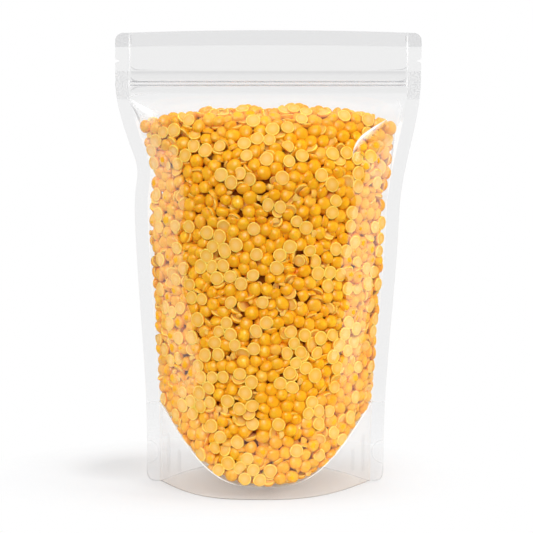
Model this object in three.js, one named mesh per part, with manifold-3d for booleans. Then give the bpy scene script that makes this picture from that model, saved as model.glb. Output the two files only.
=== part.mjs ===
// A clear stand-up pouch of yellow split peas, as bought: sealed, full, and standing on its opened bottom
// gusset. The pouch is one closed solid out to its film. Its belly shows the peas that press against the film
// as bumps of their own size. Round it lie the flat side seals, the header with its press-to-close strip, and
// the skirt that the pouch stands on, which is hollow under the gusset.
//
// Millimetres, +Z up, front towards -Y. The origin is on the floor, under the middle of the pouch.

import * as THREE from "three";
import { mergeVertices } from "three/addons/utils/BufferGeometryUtils.js";
import Module from "manifold-3d";

const wasm = await Module();
wasm.setup();

// ---------------------------------------------------------------- driving dimensions

const FLAT_WIDTH = 150; // of the empty pouch laid flat; the header keeps it
const SIDE_HEIGHT = 225; // of the side edges
const TOP_ARCH = 1.3; // how much the middle of the top edge stands above its corners
const CORNER_RADIUS = 4;
const SEAL_WIDTH = 6.5; // of the flat heat seal down each side
const SEAL_HALF = 0.45; // half the thickness of the seals
const TOP_SEAL_LOW = 219; // lower edge of the seal across the top
const HEADER_HALF = 0.6; // half the thickness of the unsealed header, between top seal and strip

const FOOT_HALF_WIDTH = 59.6; // where the filled pouch stands
const WAIST_HALF_WIDTH = 65.8; // just under the shoulders
const TAPER = [20, 152]; // heights between which the sides spread from foot to waist
const SHOULDER_LEFT = [154, 201]; // and from waist to header
const SHOULDER_RIGHT = [137, 202];
const LEAN = -1.7; // how far the foot stands to the left of the header
const BUCKLE_HEIGHT = 158; // a dent where the left seal has buckled
const BUCKLE_DEPTH = 1.7;
const BUCKLE_SPREAD = 11;

const GUSSET_HEIGHT = 41; // where the gusset's fold meets the side seals
const SEAM_LOW = 6.4; // lowest point of the curved seam that joins gusset and front or back
const SEAM_FLAT = 2.8; // how flat the seam's U is at the bottom
const SEAM_ROUND = 1.35; // and how much it eases off towards the side seals
const GUSSET_SAG = 1.2; // how far the gusset sags between its two seams
const SKIRT_WALL = 0.9;
const HEM_SQUARE_LEFT = 3.2; // the opened hem in plan: a rounded oval, squarer on the left,
const HEM_SQUARE_RIGHT = 2.5; // that closes to flat corners
const HEM_CLOSES = 0.98;
const HOLLOW_REACH = 0.93; // share of the half chord that the hollow under the gusset takes

const CLOSING_LOW = 184; // front and back film come together from here
const CLOSING_HIGH = 197; // to here, under the strip

const PEA_PITCH = 7; // from one pea that shows to the next
const PEA_PEAK = 1; // how far a pea stands out of the belly
const PEA_GAP = -0.7; // and how deep the gap between peas is
const PEA_SLIP = 0.9; // how far a pea may be off its place
const HEAP_TOP = 189; // top of the peas in the middle
const HEAP_DROP = 8; // and how much lower it is at the sides

const STRIP_LOW = 195.2; // press-to-close strip
const STRIP_HIGH = 205.9;
const STRIP_STEP = 0.35; // how far its flange lifts the film
const TRACK_HEIGHTS = [199.4, 201.2]; // its two interlocking ribs
const TRACK_RADIUS = 0.65;

const NOTCH_HEIGHT = 211.3; // tear notch in each side seal
const NOTCH_DEPTH = 2.4;
const NOTCH_HALF = 0.9;

const PUNCH_HEIGHT = 15.3; // spot weld through the punched gusset, at each lower corner
const PUNCH_RADIUS = 6;
const PUNCH_DEPTH = 0.2;

const LEFT = -1;
const RIGHT = 1;
const FRONT = -1;
const BACK = 1;

// ---------------------------------------------------------------- small helpers

const lerp = (a, b, t) => a + (b - a) * t;

// 0 below low, 1 above high, and a smooth rise between them.
function ramp(value, low, high) {
  const t = Math.min(1, Math.max(0, (value - low) / (high - low)));
  return t * t * (3 - 2 * t);
}

// A seeded random number from 0 to 1, for uneven peas.
function randomFrom(seed) {
  let state = seed;
  return () => {
    state = (state * 1664525 + 1013904223) % 4294967296;
    return state / 4294967296;
  };
}

// ---------------------------------------------------------------- the pouch's form, as functions

// Sideways offset of the pouch's middle at height z.
const lean = (z) => lerp(LEAN, 0, z / SIDE_HEIGHT);

// Half the width at height z. The filled belly draws the sides in; the shoulders spread to the flat header.
function halfWidth(z, side) {
  const body = lerp(FOOT_HALF_WIDTH, WAIST_HALF_WIDTH, ramp(z, ...TAPER));
  const flare = ramp(z, ...(side === LEFT ? SHOULDER_LEFT : SHOULDER_RIGHT));
  const buckle = side === LEFT ? BUCKLE_DEPTH * Math.exp(-(((z - BUCKLE_HEIGHT) / BUCKLE_SPREAD) ** 2)) : 0;
  return lerp(body, FLAT_WIDTH / 2, flare) - buckle;
}

const halfChord = (z, side) => halfWidth(z, side) - SEAL_WIDTH;

// The half angle of a circular arc that is ratio times as long as its chord.
function arcAngle(ratio) {
  let low = 1e-3;
  let high = 2;
  for (let i = 0; i < 40; i++) {
    const middle = (low + high) / 2;
    if (middle / Math.sin(middle) < ratio) low = middle;
    else high = middle;
  }
  return (low + high) / 2;
}

// The film doesn't stretch, so the narrower the pouch is drawn in, the deeper its belly: each panel is an arc
// of the flat width between the side seals, over the chord that is left.
function bellyArc(z) {
  const chord = (halfChord(z, LEFT) + halfChord(z, RIGHT)) / 2;
  const angle = arcAngle((FLAT_WIDTH / 2 - SEAL_WIDTH) / chord);
  const closed = ramp(z, CLOSING_LOW, CLOSING_HIGH);
  return { angle, depth: chord * Math.tan(angle / 2) * (1 - closed) };
}

// q runs from -1 to 1 between the inner edges of the side seals.
const acrossAt = (q, z) => lean(z) + q * halfChord(z, q < 0 ? LEFT : RIGHT);

// How far the front or back film stands from the middle plane, bumps left out.
function depthAt(q, z) {
  const { angle, depth } = bellyArc(z);
  const inside = Math.min(1, Math.abs(q));
  const lens = (Math.sqrt(1 - (inside * Math.sin(angle)) ** 2) - Math.cos(angle)) / (1 - Math.cos(angle));
  const square = q < 0 ? HEM_SQUARE_LEFT : HEM_SQUARE_RIGHT;
  const hem = Math.max(0, 1 - Math.min(1, inside / HEM_CLOSES) ** square) ** 1.1;
  return SEAL_HALF + depth * lerp(hem, lens, ramp(z, 0, GUSSET_HEIGHT));
}

// Height of the curved seam between the gusset and the front or back.
function seamAt(q) {
  const inside = Math.min(1, Math.abs(q));
  return lerp(SEAM_LOW, GUSSET_HEIGHT, 1 - (1 - inside ** SEAM_FLAT) ** SEAM_ROUND);
}

const heapTopAt = (q) => HEAP_TOP - HEAP_DROP * q * q;

// How strongly the peas show through the film: fully on the belly, not on the skirt, header and seals.
function peasShow(q, z) {
  const aboveSeam = ramp(z - seamAt(q), 0, 4);
  const belowTop = 1 - ramp(z, heapTopAt(q) - 4, heapTopAt(q) + 2);
  const offSeals = 1 - ramp(Math.abs(q), 0.93, 1);
  return aboveSeam * belowTop * offSeals;
}

// ---------------------------------------------------------------- meshes to solids

function solidFrom(positions, triangles) {
  const vertProperties = new Float32Array(positions);
  const triVerts = new Uint32Array(triangles);
  return new wasm.Manifold(new wasm.Mesh({ numProp: 3, vertProperties, triVerts }));
}

function solidOf(geometry) {
  geometry.deleteAttribute("normal");
  geometry.deleteAttribute("uv");
  const merged = mergeVertices(geometry, 1e-4);
  return solidFrom(merged.attributes.position.array, merged.index.array);
}

function geometryOf(solid) {
  const mesh = solid.getMesh();
  const geometry = new THREE.BufferGeometry();
  geometry.setAttribute("position", new THREE.BufferAttribute(mesh.vertProperties, 3));
  geometry.setIndex(new THREE.BufferAttribute(mesh.triVerts, 1));
  return geometry;
}

// ---------------------------------------------------------------- belly, header and seals

const LATTICE = PEA_PITCH / Math.sqrt(3); // every third point of this triangular lattice is a pea's crown
const ROW_STEP = (LATTICE * Math.sqrt(3)) / 2;
const COLUMNS = 2 * Math.round((FLAT_WIDTH - 2 * SEAL_WIDTH) / LATTICE / 2);
const OVERHANG = 3; // the sheets run this far past the outline, which then trims them

// Where the points of one row lie across the film, as shares of its arc from -1 to 1. Odd rows are staggered.
function rowStations(row) {
  const stations = [];
  for (let i = 0; i <= COLUMNS; i++) stations.push({ share: (2 * i) / COLUMNS - 1, step: 2 * i });
  if (row % 2 === 0) return stations;
  const staggered = stations.slice(0, -1);
  for (const station of staggered) {
    station.share += 1 / COLUMNS;
    station.step += 1;
  }
  return [{ share: -1, step: 0 }, ...staggered, stations[COLUMNS]];
}

const isCrown = (step, row) => (((step - 3 * row) / 2) % 3) === 0;

// One row of points across the front or back film at height z.
function filmRow(z, row, side, random) {
  const { angle } = bellyArc(z);
  const points = rowStations(row).map(({ share, step }) => {
    const q = Math.sin(angle * share) / Math.sin(angle);
    const shown = peasShow(q, z);
    const [middle, low, high] = isCrown(step, row) ? [PEA_PEAK, 0.6, 1.3] : [PEA_GAP, 0.4, 1.4];
    const bump = middle * lerp(low, high, random());
    const slip = shown * PEA_SLIP;
    const header = z > CLOSING_HIGH && z < TOP_SEAL_LOW && Math.abs(q) < 0.999 ? HEADER_HALF : 0;
    return {
      share,
      x: acrossAt(q, z) + bump * shown * Math.sin(angle * share) + slip * (random() - 0.5),
      y: side * Math.max(depthAt(q, z) + shown * bump, header),
      z: z + slip * (random() - 0.5),
    };
  });
  const sealEdge = (end, share) => ({
    share,
    x: lean(z) + end * (halfWidth(z, end) + OVERHANG),
    y: side * SEAL_HALF,
    z,
  });
  return [sealEdge(LEFT, -2), ...points, sealEdge(RIGHT, 2)];
}

// Rows as high as the peas reach, then a few up the closing film and the flat header.
function rowHeights() {
  const heights = [];
  for (let z = 0; z < CLOSING_HIGH; z += ROW_STEP) heights.push(z);
  heights.push(CLOSING_HIGH, TOP_SEAL_LOW - 0.2, TOP_SEAL_LOW + 0.2, SIDE_HEIGHT + TOP_ARCH + OVERHANG);
  return heights;
}

// The two sheets of film, joined along all four edges into one closed pillow.
function pillow() {
  const positions = [];
  const triangles = [];
  const heights = rowHeights();
  const sheet = (side, seed) => {
    const random = randomFrom(seed);
    return heights.map((z, row) =>
      filmRow(z, row, side, random).map((point) => {
        positions.push(point.x, point.y, point.z);
        return { index: positions.length / 3 - 1, share: point.share };
      }),
    );
  };
  const add = (side, a, b, c) => triangles.push(...(side === FRONT ? [a, b, c] : [a, c, b]));

  // Fills the band between a row and the row above it, taking whichever next point comes first.
  const band = (lower, upper, side) => {
    let i = 0;
    let j = 0;
    while (i < lower.length - 1 || j < upper.length - 1) {
      const lowerNext = i < lower.length - 1 ? lower[i + 1].share : Infinity;
      const upperNext = j < upper.length - 1 ? upper[j + 1].share : Infinity;
      if (lowerNext <= upperNext) {
        add(side, lower[i].index, lower[i + 1].index, upper[j].index);
        i++;
      } else {
        add(side, lower[i].index, upper[j + 1].index, upper[j].index);
        j++;
      }
    }
  };

  const front = sheet(FRONT, 11);
  const back = sheet(BACK, 29);
  for (let row = 0; row < heights.length - 1; row++) {
    band(front[row], front[row + 1], FRONT);
    band(back[row], back[row + 1], BACK);
    for (const end of [0, -1]) {
      const [a, b] = [front[row].at(end).index, front[row + 1].at(end).index];
      const [c, d] = [back[row].at(end).index, back[row + 1].at(end).index];
      const side = end === 0 ? FRONT : BACK;
      add(side, a, b, d);
      add(side, a, d, c);
    }
  }
  for (const row of [0, heights.length - 1]) {
    const side = row === 0 ? FRONT : BACK;
    for (let i = 0; i < front[row].length - 1; i++) {
      const [a, b] = [front[row][i].index, front[row][i + 1].index];
      const [c, d] = [back[row][i].index, back[row][i + 1].index];
      add(side, a, c, d);
      add(side, a, d, b);
    }
  }
  return solidFrom(positions, triangles);
}

// ---------------------------------------------------------------- outline, hollow and fittings

const THROUGH = 120; // deep enough to cut right through the pouch, front to back

// Turns a shape drawn in x and z into a solid that runs through the pouch from front to back.
function through(shape) {
  const options = { depth: THROUGH, bevelEnabled: false, curveSegments: 6 };
  const geometry = new THREE.ExtrudeGeometry(shape, options);
  geometry.rotateX(Math.PI / 2);
  geometry.translate(0, THROUGH / 2, 0);
  return solidOf(geometry);
}

// The pouch seen from the front: rounded corners, an arched top edge and a tear notch in each side.
function outline() {
  const edge = (z, side) => lean(z) + side * halfWidth(z, side);
  const shape = new THREE.Shape();
  const r = CORNER_RADIUS;
  const climb = [];
  for (let z = 8; z <= SIDE_HEIGHT - 6; z += 6) if (Math.abs(z - NOTCH_HEIGHT) > 2) climb.push(z);
  const notched = (side) => {
    const points = climb.map((z) => [edge(z, side), z]);
    const at = points.findIndex((point) => point[1] > NOTCH_HEIGHT);
    const mouth = edge(NOTCH_HEIGHT, side);
    points.splice(
      at,
      0,
      [mouth, NOTCH_HEIGHT - NOTCH_HALF],
      [mouth - side * NOTCH_DEPTH, NOTCH_HEIGHT],
      [mouth, NOTCH_HEIGHT + NOTCH_HALF],
    );
    return points;
  };
  const [footLeft, footRight] = [edge(0, LEFT), edge(0, RIGHT)];
  const [topLeft, topRight] = [edge(SIDE_HEIGHT, LEFT), edge(SIDE_HEIGHT, RIGHT)];
  shape.moveTo(footLeft + r, 0);
  shape.lineTo(footRight - r, 0);
  shape.absarc(footRight - r, r, r, -Math.PI / 2, 0);
  for (const [x, z] of notched(RIGHT)) shape.lineTo(x, z);
  shape.absarc(topRight - r, SIDE_HEIGHT - r, r, 0, Math.PI / 2);
  shape.quadraticCurveTo((topLeft + topRight) / 2, SIDE_HEIGHT + 2 * TOP_ARCH, topLeft + r, SIDE_HEIGHT);
  shape.absarc(topLeft + r, SIDE_HEIGHT - r, r, Math.PI / 2, Math.PI);
  for (const [x, z] of notched(LEFT).reverse()) shape.lineTo(x, z);
  shape.absarc(footLeft + r, r, r, Math.PI, 1.5 * Math.PI);
  return through(shape);
}

// The open space under the gusset, between the front and back skirts: a block bent to the skirts' inner faces
// and the underside of the gusset.
function gussetHollow() {
  const block = new THREE.BoxGeometry(2, 2, 1, 30, 8, 6);
  const at = block.attributes.position;
  for (let i = 0; i < at.count; i++) {
    const q = at.getX(i) * HOLLOW_REACH;
    const v = at.getY(i);
    const roof = seamAt(q) - GUSSET_SAG * (1 - v * v);
    const z = lerp(-2, roof, at.getZ(i) + 0.5);
    const room = Math.max(0.1, depthAt(q, Math.max(0, z)) - SKIRT_WALL);
    at.setXYZ(i, acrossAt(q, Math.max(0, z)), v * room, z);
  }
  return solidOf(block);
}

// A profile drawn as outward and up, run across the pouch from x = from to x = to on its front or back.
function acrossPouch(profile, side, from, to) {
  const depth = to - from;
  const geometry = new THREE.ExtrudeGeometry(profile, { depth, bevelEnabled: false, curveSegments: 4 });
  const outward = new THREE.Vector3(0, side, 0);
  const up = new THREE.Vector3(0, 0, 1);
  const along = new THREE.Vector3(side, 0, 0);
  geometry.applyMatrix4(new THREE.Matrix4().makeBasis(outward, up, along));
  geometry.translate(side === BACK ? from : to, 0, 0);
  return solidOf(geometry);
}

// The press-to-close strip, as it lifts the film on one side: a flange right across the pouch, and two ribs
// that end at the side seals, which crush them flat.
function strip(side) {
  const skin = HEADER_HALF + STRIP_STEP;
  const flange = new THREE.Shape();
  flange.moveTo(0, STRIP_LOW);
  flange.lineTo(HEADER_HALF, STRIP_LOW);
  flange.lineTo(skin, STRIP_LOW + STRIP_STEP);
  flange.lineTo(skin, STRIP_HIGH - STRIP_STEP);
  flange.lineTo(HEADER_HALF, STRIP_HIGH);
  flange.lineTo(0, STRIP_HIGH);
  let solid = acrossPouch(flange, side, -FLAT_WIDTH / 2 - OVERHANG, FLAT_WIDTH / 2 + OVERHANG);
  for (const z of TRACK_HEIGHTS) {
    const rib = new THREE.Shape();
    rib.moveTo(0, z - TRACK_RADIUS);
    rib.absarc(skin, z, TRACK_RADIUS, -Math.PI / 2, Math.PI / 2);
    rib.lineTo(0, z + TRACK_RADIUS);
    solid = solid.add(acrossPouch(rib, side, lean(z) - halfChord(z, LEFT), lean(z) + halfChord(z, RIGHT)));
  }
  return solid;
}

// The shallow round recess of a spot weld, cut by the outline to a half circle at the edge.
function punch(side, face) {
  const disc = new THREE.CylinderGeometry(PUNCH_RADIUS, PUNCH_RADIUS, PUNCH_DEPTH * 2, 20);
  disc.translate(lean(PUNCH_HEIGHT) + side * halfWidth(PUNCH_HEIGHT, side), face * SEAL_HALF, PUNCH_HEIGHT);
  return solidOf(disc);
}

// ---------------------------------------------------------------- the pouch

function pouchSolid() {
  let solid = pillow().add(strip(FRONT)).add(strip(BACK));
  solid = solid.intersect(outline()).subtract(gussetHollow());
  for (const side of [LEFT, RIGHT]) {
    for (const face of [FRONT, BACK]) solid = solid.subtract(punch(side, face));
  }
  return solid;
}

const peaYellow = new THREE.MeshStandardMaterial({ color: 0xeeb045, roughness: 0.45, metalness: 0 });

const pouch = new THREE.Mesh(geometryOf(pouchSolid()), peaYellow);
pouch.name = "pouch";

const splitPeaPouch = new THREE.Group();
splitPeaPouch.add(pouch);

export default splitPeaPouch;
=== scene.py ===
"""A clear stand-up pouch of yellow split peas, sealed and full, standing on its opened bottom gusset.

The forms are worked out in millimetres by the same functions as the CAD model, and become metres in
the meshes. Front is towards -Y. In the functions, q runs from -1 to 1 between the inner edges of the
side seals.
"""

import math
from typing import NamedTuple

import bmesh
import bpy
import numpy as np
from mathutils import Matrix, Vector
from mathutils.bvhtree import BVHTree
from mathutils.kdtree import KDTree


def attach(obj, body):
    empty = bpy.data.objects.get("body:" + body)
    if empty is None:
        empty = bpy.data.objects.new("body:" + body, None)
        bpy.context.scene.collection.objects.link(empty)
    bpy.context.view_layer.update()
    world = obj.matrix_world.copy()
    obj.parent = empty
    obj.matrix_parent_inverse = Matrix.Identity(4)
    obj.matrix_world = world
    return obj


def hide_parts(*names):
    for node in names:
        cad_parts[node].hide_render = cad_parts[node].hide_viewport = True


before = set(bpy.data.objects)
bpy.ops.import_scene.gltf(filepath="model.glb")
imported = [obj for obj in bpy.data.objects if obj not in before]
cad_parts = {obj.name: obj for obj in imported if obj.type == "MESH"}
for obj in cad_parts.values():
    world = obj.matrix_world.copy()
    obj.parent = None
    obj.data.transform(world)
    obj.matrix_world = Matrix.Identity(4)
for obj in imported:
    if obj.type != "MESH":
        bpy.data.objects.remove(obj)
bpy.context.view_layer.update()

MM = 0.001
FRONT = -1
BACK = 1
LEFT = -1
RIGHT = 1

# ---------------------------------------------------------------- driving dimensions, in millimetres

FLAT_WIDTH = 150.0
SIDE_HEIGHT = 225.0
TOP_ARCH = 1.3
CORNER_RADIUS = 4.0
SEAL_WIDTH = 6.5
SEAL_HALF = 0.45
TOP_SEAL_LOW = 219.0
HEADER_HALF = 0.6
FOOT_HALF_WIDTH = 59.6
WAIST_HALF_WIDTH = 65.8
TAPER = (20, 152)
SHOULDER_LEFT = (154, 201)
SHOULDER_RIGHT = (137, 202)
LEAN = -1.7
BUCKLE_HEIGHT = 158
BUCKLE_DEPTH = 1.7
BUCKLE_SPREAD = 11
GUSSET_HEIGHT = 41
SEAM_LOW = 6.4
SEAM_FLAT = 2.8
SEAM_ROUND = 1.35
GUSSET_SAG = 1.2
HEM_SQUARE_LEFT = 3.2
HEM_SQUARE_RIGHT = 2.5
HEM_CLOSES = 0.98
CLOSING_LOW = 184
CLOSING_HIGH = 197
HEAP_TOP = 189
HEAP_DROP = 8
STRIP_LOW = 195.2
STRIP_HIGH = 205.9
STRIP_STEP = 0.35
TRACK_HEIGHTS = (199.4, 201.2)
TRACK_RADIUS = 0.65
NOTCH_HEIGHT = 211.3
NOTCH_DEPTH = 2.4
NOTCH_HALF = 0.9
PUNCH_HEIGHT = 15.3
PUNCH_RADIUS = 6.0

# ---------------------------------------------------------------- the pouch's form, as functions of arrays


def lerp(a, b, t):
    return a + (b - a) * t


def ramp(value, low, high):
    """0 below low, 1 above high, and a smooth rise between them."""
    t = np.clip((value - low) / (high - low), 0, 1)
    return t * t * (3 - 2 * t)


def band(value, low, full_low, full_high, high):
    """1 from full_low to full_high, with a smooth way down to 0 at low and high."""
    return ramp(value, low, full_low) * (1 - ramp(value, full_high, high))


def crowded(count, bend):
    """Shares from -1 to 1, closer together towards both ends."""
    return np.sin(np.linspace(-1, 1, count) * bend) / math.sin(bend)


def lean(z):
    return lerp(LEAN, 0, z / SIDE_HEIGHT)


def half_width(z, side):
    body = lerp(FOOT_HALF_WIDTH, WAIST_HALF_WIDTH, ramp(z, *TAPER))
    flare = np.where(side < 0, ramp(z, *SHOULDER_LEFT), ramp(z, *SHOULDER_RIGHT))
    buckle = np.where(side < 0, BUCKLE_DEPTH * np.exp(-(((z - BUCKLE_HEIGHT) / BUCKLE_SPREAD) ** 2)), 0)
    return lerp(body, FLAT_WIDTH / 2, flare) - buckle


def half_chord(z, side):
    return half_width(z, side) - SEAL_WIDTH


def arc_angle(ratio):
    """The half angle of a circular arc that is ratio times as long as its chord."""
    low = np.full(np.shape(ratio), 1e-3)
    high = np.full(np.shape(ratio), 2.0)
    for _ in range(40):
        middle = (low + high) / 2
        short = middle / np.sin(middle) < ratio
        low = np.where(short, middle, low)
        high = np.where(short, high, middle)
    return (low + high) / 2


def belly_arc(z):
    """Angle and depth of the arc that the unstretched film makes over the chord between the side seals."""
    chord = (half_chord(z, LEFT) + half_chord(z, RIGHT)) / 2
    angle = arc_angle((FLAT_WIDTH / 2 - SEAL_WIDTH) / chord)
    return angle, chord * np.tan(angle / 2) * (1 - ramp(z, CLOSING_LOW, CLOSING_HIGH))


def across_at(q, z):
    return lean(z) + q * half_chord(z, np.sign(q))


def share_across(x, z):
    offset = x - lean(z)
    return offset / half_chord(z, np.sign(offset))


def depth_at(q, z):
    """How far the front or back film stands from the middle plane."""
    angle, depth = belly_arc(z)
    inside = np.minimum(1, np.abs(q))
    lens = (np.sqrt(1 - (inside * np.sin(angle)) ** 2) - np.cos(angle)) / (1 - np.cos(angle))
    square = np.where(q < 0, HEM_SQUARE_LEFT, HEM_SQUARE_RIGHT)
    hem = np.maximum(0, 1 - np.minimum(1, inside / HEM_CLOSES) ** square) ** 1.1
    return SEAL_HALF + depth * lerp(hem, lens, ramp(z, 0, GUSSET_HEIGHT))


def seam_at(q):
    """Height of the curved seam between the gusset and the front or back."""
    inside = np.minimum(1, np.abs(q))
    return lerp(SEAM_LOW, GUSSET_HEIGHT, 1 - (1 - inside**SEAM_FLAT) ** SEAM_ROUND)


def heap_top_at(q):
    return HEAP_TOP - HEAP_DROP * q * q


def waves(x, z, length, seed, count=9):
    """Smooth unevenness of about one wave per length, from -1 to 1."""
    random = np.random.default_rng(seed)
    total = 0
    for _ in range(count):
        turn = random.uniform(0, 2 * math.pi)
        pitch = 2 * math.pi / (length * random.uniform(0.75, 1.5))
        along = x * math.cos(turn) + z * math.sin(turn)
        total = total + np.sin(pitch * along + random.uniform(0, 2 * math.pi))
    return total / math.sqrt(count)


# ---------------------------------------------------------------- camera

CAMERA_TARGET = (-0.95, 0.0, 109.53)
CAMERA_DISTANCE = 1020.0
CAMERA_ELEVATION = math.radians(8.5)
CAMERA_LENS = 138.6
SENSOR_WIDTH = 36.0


def make_camera():
    data = bpy.data.cameras.new("camera")
    data.lens = CAMERA_LENS
    data.sensor_width = SENSOR_WIDTH
    camera = bpy.data.objects.new("camera", data)
    target = Vector(CAMERA_TARGET) * MM
    towards = Vector((0, math.cos(CAMERA_ELEVATION), -math.sin(CAMERA_ELEVATION)))
    camera.location = target - towards * CAMERA_DISTANCE * MM
    camera.rotation_euler = towards.to_track_quat("-Z", "Y").to_euler()
    bpy.context.scene.collection.objects.link(camera)
    bpy.context.scene.camera = camera


make_camera()

# ---------------------------------------------------------------- mesh helpers


def make_piece(name, points, faces, material, attributes=None):
    """A smooth mesh from points in millimetres and an array of faces that all have as many corners."""
    mesh = bpy.data.meshes.new(name)
    mesh.vertices.add(len(points))
    mesh.vertices.foreach_set("co", (points * MM).astype(np.float32).ravel())
    mesh.loops.add(faces.size)
    mesh.loops.foreach_set("vertex_index", faces.astype(np.int32).ravel())
    mesh.polygons.add(len(faces))
    mesh.polygons.foreach_set("loop_start", np.arange(0, faces.size, faces.shape[1], dtype=np.int32))
    mesh.update(calc_edges=True)
    mesh.shade_smooth()
    for key, values in (attributes or {}).items():
        layer = mesh.attributes.new(key, "FLOAT", "POINT")
        layer.data.foreach_set("value", values.astype(np.float32).ravel())
    mesh.materials.append(material)
    piece = bpy.data.objects.new(name, mesh)
    bpy.context.scene.collection.objects.link(piece)
    return piece


def weld(piece, distance=0.02):
    """Merges points that coincide and drops faces that this leaves without area."""
    edit = bmesh.new()
    edit.from_mesh(piece.data)
    bmesh.ops.remove_doubles(edit, verts=edit.verts, dist=distance * MM)
    bmesh.ops.dissolve_degenerate(edit, edges=edit.edges, dist=distance * MM / 4)
    edit.to_mesh(piece.data)
    edit.free()


def grid_faces(rows, columns, flip=False):
    """Quads between rows x columns points, numbered row by row."""
    start = (np.arange(rows - 1)[:, None] * columns + np.arange(columns - 1)[None]).ravel()
    quads = np.stack([start, start + 1, start + columns + 1, start + columns], 1)
    return quads[:, ::-1] if flip else quads


def joined(sheets, flips):
    """Points and quads of several grids, given as arrays of x, y and z. Flipped ones face the other way."""
    points, faces = [], []
    start = 0
    for (x, y, z), flip in zip(sheets, flips):
        points.append(np.stack([x, y, z], 2).reshape(-1, 3))
        faces.append(grid_faces(*x.shape, flip) + start)
        start += x.size
    return np.concatenate(points), np.concatenate(faces)


TUBE_SIDES = 8


def tube(name, path, side, radius, material, white, flatness=1.0):
    """A closed bead along a path on the front or back, with its whiteness at each of the path's points.

    Flatness squashes the bead towards the film.
    """
    tangent = np.gradient(path, axis=0)
    tangent /= np.linalg.norm(tangent, axis=1)[:, None]
    out = np.array([0.0, side, 0.0]) - tangent * tangent[:, 1:2] * side
    out /= np.linalg.norm(out, axis=1)[:, None]
    beside = np.cross(tangent, out)
    turn = np.arange(TUBE_SIDES) * 2 * math.pi / TUBE_SIDES
    cosine, sine = np.cos(turn)[None, :, None], np.sin(turn)[None, :, None]
    ring = out[:, None] * cosine * flatness + beside[:, None] * sine
    here = np.arange(len(path) - 1)[:, None] * TUBE_SIDES
    i = np.arange(TUBE_SIDES)
    j = (i + 1) % TUBE_SIDES
    quads = np.stack([here + i, here + j, here + TUBE_SIDES + j, here + TUBE_SIDES + i], 2).reshape(-1, 4)
    first_pole = len(path) * TUBE_SIDES
    last_ring = first_pole - TUBE_SIDES
    first_cap = np.stack([0 * i + first_pole, j, i], 1)
    last_cap = np.stack([0 * i + first_pole + 1, last_ring + i, last_ring + j], 1)
    faces = np.concatenate([quads[:, [0, 1, 2]], quads[:, [0, 2, 3]], first_cap, last_cap])
    points = np.concatenate([(path[:, None] + radius * ring).reshape(-1, 3), path[:1], path[-1:]])
    whiteness = np.concatenate([np.repeat(white, TUBE_SIDES), white[:1], white[-1:]])
    return make_piece(name, points, faces, material, {"white": whiteness})


# ---------------------------------------------------------------- materials


def linear(red, green, blue):
    """A colour as seen on screen, from 0 to 255, as the linear values that shaders take."""
    shares = [value / 255 for value in (red, green, blue)]
    return (*(s / 12.92 if s <= 0.04045 else ((s + 0.055) / 1.055) ** 2.4 for s in shares), 1.0)


def neutral(value, warmth=0.0):
    """A grey in linear values, a little warmer or, below 0, cooler."""
    return (value, value, value - warmth, 1.0)


class Shader:
    """Short ways to add and join nodes in a material or the world."""

    def __init__(self, owner):
        owner.use_nodes = True
        self.owner = owner
        self.tree = owner.node_tree
        self.tree.nodes.clear()

    def plug(self, socket, value):
        if isinstance(value, bpy.types.NodeSocket):
            self.tree.links.new(value, socket)
        else:
            socket.default_value = value

    def node(self, kind, *values, **named):
        """A node with values in its inputs, in their order or by name."""
        node = self.tree.nodes.new("ShaderNode" + kind)
        for socket, value in zip(node.inputs, values):
            self.plug(socket, value)
        for key, value in named.items():
            self.plug(node.inputs[key.replace("_", " ")], value)
        return node

    def shade(self, kind, **named):
        return self.node(kind, **named).outputs[0]

    def blend(self, share, first, second):
        return self.node("MixShader", share, first, second).outputs[0]

    def attribute(self, name):
        node = self.node("Attribute")
        node.attribute_name = name
        return node.outputs["Fac"]

    def where(self, kind="Object"):
        """By default, places in the object's own metres."""
        return self.node("TexCoord").outputs[kind]

    def math(self, operation, a, b=0.0, clamp=False):
        node = self.node("Math", a, b)
        node.operation = operation
        node.use_clamp = clamp
        return node.outputs[0]

    def plus(self, a, b, clamp=False):
        return self.math("ADD", a, b, clamp)

    def times(self, a, b, clamp=False):
        return self.math("MULTIPLY", a, b, clamp)

    def mix(self, share, a, b, blend="MIX"):
        node = self.node("Mix")
        node.data_type = "RGBA"
        node.blend_type = blend
        for socket, value in zip([s for s in node.inputs if s.enabled], (share, a, b)):
            self.plug(socket, value)
        return next(s for s in node.outputs if s.enabled)

    def noise(self, scale, detail=2.0, **named):
        """Noise of scale waves a metre."""
        return self.shade("TexNoise", Vector=self.where(), Scale=scale, Detail=detail, **named)

    def spread(self, value, low, high, to_low=0.0, to_high=1.0):
        """The value's place between low and high, as a value between to_low and to_high."""
        return self.node("MapRange", value, low, high, to_low, to_high).outputs["Result"]

    def bump(self, height, strength, distance):
        return self.shade("Bump", Height=height, Strength=strength, Distance=distance)

    def mirror(self, power, edge, middle, **named):
        """The share of gloss: middle where the surface faces the viewer, up to edge more at its rim."""
        facing = self.node("LayerWeight", Blend=0.5, **named).outputs["Facing"]
        return self.plus(self.times(self.math("POWER", facing, power), edge), middle)

    def finish(self, surface, kind="OutputMaterial"):
        self.node(kind, Surface=surface)
        return self.owner


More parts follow.
